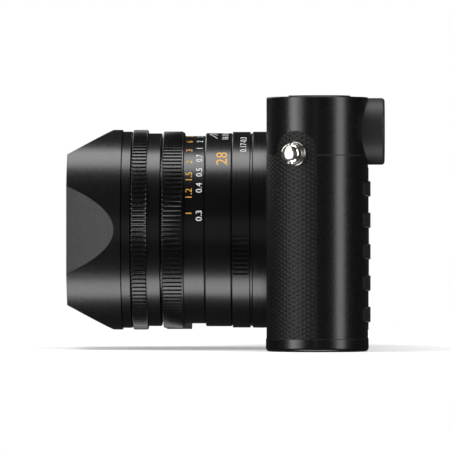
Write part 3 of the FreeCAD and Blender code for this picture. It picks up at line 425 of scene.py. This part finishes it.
# %% Aperture ring
ribs_round = 130
rib_depth = 0.42
edge = 0.3
ring_bore = 27.38
low, high = span("aperture_ring")
grip_radius = (high.z - low.z) / 2
grip_length = 4.65      # along the axis
plain_radius = 30.3     # of the band behind the grip
groove_width = 0.3
grip_rear = low.y + grip_length
outline = [
    (high.y, ring_bore), (high.y, plain_radius - edge), (high.y - edge, plain_radius),
    (grip_rear + groove_width, plain_radius), (grip_rear + groove_width, plain_radius - edge),
    (grip_rear, plain_radius - edge), (grip_rear, grip_radius - edge), (grip_rear - edge, grip_radius),
    (low.y + edge, grip_radius), (low.y, grip_radius - edge), (low.y, ring_bore)]
mesh = spun(outline, "Y", lens_axis, 4 * ribs_round)
ribbed(mesh, "Y", lens_axis, ribs_round, low.y, grip_rear - edge / 2, rib_depth, grip_radius - edge / 2)
piece("aperture_grip", mesh, "aperture_ring", anodised, ["aperture_ring"])

# %% [markdown]
# The focus ring is one turned part as well: the distance scale behind, the ribbed grip in
# front. Its finger tab is milled, so it is cut from a copy of the CAD solid: the copy is
# merged, everything below the tab's foot is bisected off, and a bevel softens the edges.

# %% Focus ring
low, high = span("focus_ring")
focus_radius = 30.9
scale_radius = 29.45
scale_length = 6.4
shoulder = 0.6          # the bevelled step between the scale and the grip
scale_front = high.y - scale_length
focus_grip_rear = scale_front - shoulder
outline = [
    (high.y, ring_bore), (high.y, scale_radius - edge / 2), (high.y - edge / 2, scale_radius),
    (scale_front, scale_radius), (scale_front, focus_radius - 2 * edge),
    (scale_front - edge, focus_radius - edge), (focus_grip_rear, focus_radius - edge),
    (focus_grip_rear - edge / 3, focus_radius), (low.y + edge, focus_radius),
    (low.y, focus_radius - edge), (low.y, ring_bore)]
mesh = spun(outline, "Y", lens_axis, 4 * ribs_round)
ribbed(mesh, "Y", lens_axis, ribs_round, low.y, focus_grip_rear, rib_depth, focus_radius - edge / 2)
piece("focus_grip", mesh, "focus_ring", anodised, ["focus_ring"])

tab_turn = math.radians(45)     # from straight down towards the photographer's right
tab_way = Vector((-math.sin(tab_turn), 0, -math.cos(tab_turn)))
tab_foot = 30.2                 # just inside the ring's ribs
mesh = bmesh.new()
mesh.from_mesh(frame["nodes"]["focus_ring"].data)
bmesh.ops.remove_doubles(mesh, verts=mesh.verts, dist=1e-6)
cut = bmesh.ops.bisect_plane(mesh, geom=mesh.verts[:] + mesh.edges[:] + mesh.faces[:],
                             plane_co=Vector(lens_axis) * mm + tab_way * (tab_foot * mm), plane_no=tab_way,
                             clear_inner=True)
bmesh.ops.holes_fill(mesh, edges=[e for e in cut["geom_cut"] if isinstance(e, bmesh.types.BMEdge)])
bmesh.ops.dissolve_limit(mesh, angle_limit=math.radians(1), verts=mesh.verts, edges=mesh.edges)
tab = piece("focus_tab", mesh, "focus_ring", anodised)
soften = tab.modifiers.new("soft_edges", "BEVEL")
soften.width = 0.25 * mm
soften.segments = 3
soften.limit_method = "ANGLE"
soften.angle_limit = math.radians(40)

# %% [markdown]
# The macro ring is plain but for two short fields of ribs at its sides, just below the middle,
# where a finger and a thumb meet it.

# %% Macro ring
low, high = span("macro_ring")
macro_radius = (high.z - low.z) / 2
rib_margin = 0.45
outline = [
    (high.y, ring_bore), (high.y, macro_radius - edge / 2), (high.y - edge / 2, macro_radius),
    (high.y - rib_margin, macro_radius), (high.y - rib_margin - edge / 2, macro_radius),
    (low.y + rib_margin + edge / 2, macro_radius), (low.y + rib_margin, macro_radius),
    (low.y + edge / 2, macro_radius), (low.y, macro_radius - edge / 2), (low.y, ring_bore)]
mesh = spun(outline, "Y", lens_axis, 4 * ribs_round)
rib_top, rib_bottom = -2.4, -28.0    # degrees from level
rib_inset = rib_margin + edge / 4
rib_fields = [(rib_bottom, rib_top), (-180 - rib_top, -180 - rib_bottom)]
ribbed(mesh, "Y", lens_axis, ribs_round, low.y + rib_inset, high.y - rib_inset, rib_depth,
       macro_radius - edge / 4, sectors=rib_fields)
piece("macro_grip", mesh, "macro_ring", anodised, ["macro_ring"])

# %% [markdown]
# The scales are engraved and filled with paint. Each row is text made a mesh, bent round the
# ring so that it reads along the circumference with its tops towards the front, and sunk so
# that only a hair of paint stands above the metal. Only plain numbers are used.

# %% Lettering helpers
def letter_mesh(text, size, thickness=0.05):
    """Centred text as a mesh in millimetres, reading along X with its tops along Y."""
    curve = bpy.data.curves.new("letters", "FONT")
    curve.body = text
    curve.size = size
    curve.align_x = "CENTER"
    curve.align_y = "CENTER"
    curve.extrude = thickness
    curve.resolution_u = 4
    holder = bpy.data.objects.new("letters", curve)
    bpy.context.scene.collection.objects.link(holder)
    bpy.context.view_layer.update()
    data = bpy.data.meshes.new_from_object(holder.evaluated_get(bpy.context.evaluated_depsgraph_get()))
    bpy.data.objects.remove(holder)
    bpy.data.curves.remove(curve)
    return data


def join_into(whole, part):
    """Adds one bmesh to another and frees it."""
    spare = bpy.data.meshes.new("spare")
    part.to_mesh(spare)
    part.free()
    whole.from_mesh(spare)
    bpy.data.meshes.remove(spare)


def bend_round(part, degrees, along, radius):
    """Bends a flat part round the lens: its X runs up the circumference and its Y towards the front."""
    for vert in part.verts:
        turn = math.radians(degrees) + vert.co.x / radius
        reach = (radius + vert.co.z) * mm
        vert.co = (reach * math.cos(turn), (along - vert.co.y) * mm, lens_z + reach * math.sin(turn))


def wrap_row(marks, size, along, radius, width=1.08):
    """Bends several texts round the lens, each at its own angle above the photographer's left."""
    row = bmesh.new()
    for text, degrees in marks:
        letters = bmesh.new()
        data = letter_mesh(text, size)
        letters.from_mesh(data)
        bpy.data.meshes.remove(data)
        bmesh.ops.scale(letters, verts=letters.verts, vec=(width, 1, 1))
        bend_round(letters, degrees, along, radius)
        join_into(row, letters)
    bmesh.ops.remove_doubles(row, verts=row.verts, dist=1e-7)
    bmesh.ops.recalc_face_normals(row, faces=row.faces)
    return row


def wrap_lines(lines, width, radius):
    """Bends thin straight marks round the lens: each has a length, a lean, an angle and a place along Y."""
    row = bmesh.new()
    for length, lean, degrees, along in lines:
        line = bmesh.new()
        bmesh.ops.create_cube(line, size=1)
        bmesh.ops.scale(line, verts=line.verts, vec=(width, length, 0.1))
        bmesh.ops.rotate(line, verts=line.verts, matrix=Matrix.Rotation(math.radians(lean), 3, "Z"))
        bmesh.ops.subdivide_edges(line, edges=line.edges, cuts=3, use_grid_fill=True)
        bend_round(line, degrees, along, radius)
        join_into(row, line)
    bmesh.ops.recalc_face_normals(row, faces=row.faces)
    return row


def ink(name, colour):
    finish = Finish(name, colour, 0.5)
    speck = finish.noise(6.0, 2)
    finish.set("Base Color", finish.blend(speck, colour, tuple(0.86 * c for c in colour)))
    return finish


white_ink = ink("white_ink", (0.85, 0.86, 0.88))
amber_ink = ink("amber_ink", (0.80, 0.42, 0.05))
print("lettering helpers ready")

# %% Distance scale
feet = [("1", 10), ("1.2", 22.3), ("1.5", 34), ("2", 45.5), ("3", 57), ("6", 69), ("20", 84)]
metres = [("0.3", 8.6), ("0.4", 26.3), ("0.5", 37.4), ("0.7", 49.2), ("1", 59.5), ("2", 69.4), ("3", 81),
          ("8", 95)]
feet_size = 2.9
metre_size = 2.7
feet_along = scale_front + 1.7
metre_along = scale_front + 4.9
feet_row = wrap_row(feet, feet_size, feet_along, scale_radius)
piece("feet_scale", feet_row, "focus_ring", amber_ink)
metre_row = wrap_row(metres, metre_size, metre_along, scale_radius)
piece("metre_scale", metre_row, "focus_ring", white_ink)

# %% Numbers on the fixed barrel and the macro ring
barrel_radius = 30.35
ring_gap = 0.15
barrel_front = span("focus_ring")[1].y + ring_gap
macro_low, macro_high = span("macro_ring")
barrel_rear = macro_low.y - ring_gap
focal_turn = 47.0       # degrees above level
focal_size = 4.9
focal_row = wrap_row([("28", focal_turn)], focal_size, barrel_rear - 2.9, barrel_radius, 1.27)
piece("focal_length", focal_row, "camera_body", amber_ink)
depth_marks = [("16", 70.5), ("11", 77.5), ("8", 84), ("8", 96), ("11", 102.5), ("16", 109.5)]
depth_size = 2.9
depth_row = wrap_row(depth_marks, depth_size, barrel_rear - 2.0, barrel_radius)
piece("depth_numbers", depth_row, "camera_body", white_ink)

# The depth lines fan out from the index to the numbers; each is shorter and leans less than the last.
top = 90
line_width = 0.22
longest, shortening = 6.0, 1.4
widest_lean, lean_step = 65, 12
widest_turn, turn_step = 15, 5.5
index_marks = [(longest - shortening * step, (widest_lean - lean_step * step) * side,
                top + (widest_turn - turn_step * step) * side, barrel_front + 2.5)
               for side in (-1, 1) for step in (0, 1, 2)]
index_marks.append((3.4, 0, top, barrel_front + 2.1))
line_row = wrap_lines(index_marks, line_width, barrel_radius)
piece("depth_lines", line_row, "camera_body", white_ink)
macro_middle = (macro_low.y + macro_high.y) / 2
range_turn = 61
range_size = 2.75
range_row = wrap_row([("0.17-0.3", range_turn)], range_size, macro_middle + 0.8, macro_radius, 1.1)
piece("macro_range", range_row, "macro_ring", white_ink)

# %% [markdown]
# The covering is thin embossed leatherette: rows of small raised diamonds, each row shifted by
# half a step. Its pattern has to run round the ends without stretching, so it is drawn on the
# length measured along the body's outline, worked out in the shader from X and Y, and on the
# height. The bumps stand in a Bump node, since they are only a tenth of a millimetre high. The
# colour is painted lighter on the stud tops as a highlight and darker between them as shade.

# %% Leatherette
low, high = span("leatherette")
end_radius = -low.y
left_centre = high.x - end_radius
right_centre = low.x + end_radius
column_step = 1.27
row_step = 1.39


def embossed(name):
    finish = Finish(name, (0.0045, 0.0040, 0.0040), 0.36, Specular_IOR_Level=0.32)
    x, y, z = finish.place()
    past_left = (x - left_centre).at_least(0)
    past_right = (x - right_centre).at_most(0)
    flat = x.at_least(right_centre).at_most(left_centre)
    turn = finish.node("Math", {"operation": "ARCTAN2"}, i0=past_left + past_right, i1=0 - y)
    length = flat + turn * end_radius
    across = finish.node("Math", {"operation": "COSINE"}, i0=length * (math.pi / column_step))
    up = finish.node("Math", {"operation": "COSINE"}, i0=z * (2 * math.pi / row_step))
    stud = (across * up).at_least(0) ** 1.4
    pore = finish.noise(3.0, 3)
    # The base colour holds a painted highlight and painted shade: lighter on the stud tops, darker in the
    # hollows between them.
    finish.set("Base Color", finish.blend(stud, (0.0024, 0.0021, 0.0021), (0.0070, 0.0064, 0.0064)))
    finish.set("Roughness", 0.46 - 0.12 * stud + 0.06 * pore)
    finish.bump(stud * 0.9 + pore * 0.15, 0.15)
    return finish


leather = embossed("leatherette")
print("outline: end radius", end_radius, "centres", left_centre, right_centre)

# %% [markdown]
# Where two castings meet there is a fine dark line. Each is a narrow band of shadow, made by
# carrying one short upright edge round the outline with extrusions and quarter or half spins.

# %% Seams
def carry(mesh, edges, shift):
    """Extrudes edges and moves the new ones."""
    made = bmesh.ops.extrude_edge_only(mesh, edges=edges)["geom"]
    fresh = [g for g in made if isinstance(g, bmesh.types.BMVert)]
    bmesh.ops.translate(mesh, verts=fresh, vec=shift)
    return [g for g in made if isinstance(g, bmesh.types.BMEdge) and g.is_boundary
            and all(v in fresh for v in g.verts)]


def swing(mesh, edges, x, degrees):
    """Spins edges about an upright axis in the middle plane."""
    geometry = list({v for e in edges for v in e.verts}) + edges
    made = bmesh.ops.spin(mesh, geom=geometry, cent=(x * mm, 0, 0), axis=(0, 0, 1),
                          angle=math.radians(degrees), steps=48)["geom_last"]
    return [g for g in made if isinstance(g, bmesh.types.BMEdge)]


def seam(name, radius, height, width, first_turn):
    """A dark line round the back of the body, or all round it where first_turn is 180."""
    mesh = bmesh.new()
    turn = math.radians(first_turn - 90)
    start = Vector((left_centre + radius * math.cos(turn), -radius * math.sin(turn), height - width / 2)) * mm
    pair = [mesh.verts.new(start), mesh.verts.new(start + Vector((0, 0, width * mm)))]
    edges = swing(mesh, [mesh.edges.new(pair)], left_centre, first_turn)
    edges = carry(mesh, edges, ((right_centre - left_centre) * mm, 0, 0))
    edges = swing(mesh, edges, right_centre, first_turn)
    if first_turn == 180:
        carry(mesh, edges, ((left_centre - right_centre) * mm, 0, 0))
    bmesh.ops.remove_doubles(mesh, verts=mesh.verts, dist=1e-7)
    bmesh.ops.recalc_face_normals(mesh, faces=mesh.faces)
    bmesh.ops.solidify(mesh, geom=mesh.faces[:], thickness=0.2 * mm)
    return piece(name, mesh, "camera_body", matt_black)


cover_seam = span("front_shell")[1].z
base_seam = span("leatherette")[0].z
seam("cover_seam", end_radius + 0.03, cover_seam, 0.32, 90)
seam("base_seam", end_radius + 0.05, base_seam + 0.1, 0.2, 180)

# %% [markdown]
# A strap lug is a polished stud: a shallow domed flange on the body, a neck, and a domed head
# drilled from top to bottom for the split ring. It is spun about its own level axis, and the
# hole is a Boolean cut, because a drilled dome has no simple outline.

# %% Strap lugs
def arc(along, radius, size, start, end, steps=8):
    """Points of an arc in an outline, as (along, radius) pairs; 0 degrees points along the axis."""
    turns = [math.radians(start + (end - start) * i / steps) for i in range(steps + 1)]
    return [(along + size * math.cos(t), radius + size * math.sin(t)) for t in turns]


def drilled(solid, drill):
    """Cuts one closed bmesh out of another."""
    holders = []
    for name, mesh in (("solid", solid), ("drill", drill)):
        data = bpy.data.meshes.new(name)
        mesh.to_mesh(data)
        mesh.free()
        holder = bpy.data.objects.new(name, data)
        bpy.context.scene.collection.objects.link(holder)
        holders.append(holder)
    cut = holders[0].modifiers.new("drilled", "BOOLEAN")
    cut.operation = "DIFFERENCE"
    cut.solver = "EXACT"
    cut.object = holders[1]
    bpy.context.view_layer.update()
    data = bpy.data.meshes.new_from_object(holders[0].evaluated_get(bpy.context.evaluated_depsgraph_get()))
    result = bmesh.new()
    result.from_mesh(data)
    for holder in holders:
        bpy.data.meshes.remove(holder.data)
    bpy.data.meshes.remove(data)
    return result


lug_turn = math.radians(26)
lug_height = (span("strap_lugs")[0].z + span("strap_lugs")[1].z) / 2
flange_radius = (span("strap_lugs")[1].z - span("strap_lugs")[0].z) / 2
lug_hole = 1.1
rim_round = 0.25
stem = [(-1.0, 0), (-1.0, 1.4), (-0.43, flange_radius)]
flange_rim = arc(0.1, flange_radius - rim_round, rim_round, 80, 30, 4)
neck = [(0.62, 2.7), (0.8, 2.1), (1.0, 1.95), (1.45, 1.95)]
head_rim = arc(1.95, 2.65, 0.5, 160, 90, 5)
dome = arc(2.45, 1.35, 1.8, 86, 25, 8) + [(4.2, 1.1), (4.24, 0.5), (4.25, 0)]
lug_outline = stem + flange_rim + neck + head_rim + dome
lug_eye = 2.85          # the hole's distance from the body's end
drill_reach = 6         # half the length of the drill
lugs = bmesh.new()
for side, centre_x in ((1, left_centre), (-1, right_centre)):
    way = Vector((side * math.cos(lug_turn), -math.sin(lug_turn), 0))
    foot = Vector((centre_x, 0, lug_height)) + way * end_radius
    stud = spun(lug_outline, way, foot, 72)
    eye = foot + way * lug_eye
    drill_outline = [(-drill_reach, 0), (-drill_reach, lug_hole), (drill_reach, lug_hole), (drill_reach, 0)]
    drill = spun(drill_outline, "Z", eye, 32)
    join_into(lugs, drilled(stud, drill))
piece("strap_studs", lugs, "camera_body", chrome, ["strap_lugs"], 40)

# %% [markdown]
# The rest of the shapes are right as CAD made them, so they keep their meshes and only get a
# finish, node by node.

# %% Finishes of the CAD pieces
by_finish = [
    (paint, "front_shell top_cover base_plate rear_panel port_door battery_door"),
    (leather, "leatherette"),
    (chrome, "strap_lugs"),
    (shoe_steel, "hot_shoe"),
    (hood_paint, "lens_hood"),
    (rubber, "eyepiece_frame"),
    (knob_black, "speed_dial thumb_wheel power_lever shutter_button video_button diopter_wheel"),
    (plastic, "play_button delete_button function_button iso_button menu_button direction_pad set_button "
              "zoom_button door_latch focus_lock_button"),
    (matt_black, "name_ring focus_cell iris_housing evf_unit"),
    (glass, "front_element rear_element focus_lens eyepiece_glass"),
    (display_glass, "lcd_window"),
    (screen, "lcd_panel"),
    (lamp_glass, "assist_lamp"),
    (steel, "tripod_socket port_sockets"),
    (screw_black, "cover_screws"),
    (chassis, "inner_frame"),
    (board_green, "main_board"),
    (sensor_glass, "image_sensor"),
    (cell_case, "battery")]
cad_finish = {name: finish for finish, names in by_finish for name in names.split()}
cad_finish.update({name: blade_steel for name in frame["nodes"] if name.startswith("iris_blade")})
print("turned black by default:", [name for name in frame["nodes"] if name not in cad_finish])
for name, node in frame["nodes"].items():
    finish = cad_finish.get(name, anodised)
    for index in range(len(node.data.materials)):
        node.material_slots[index].material = finish.material
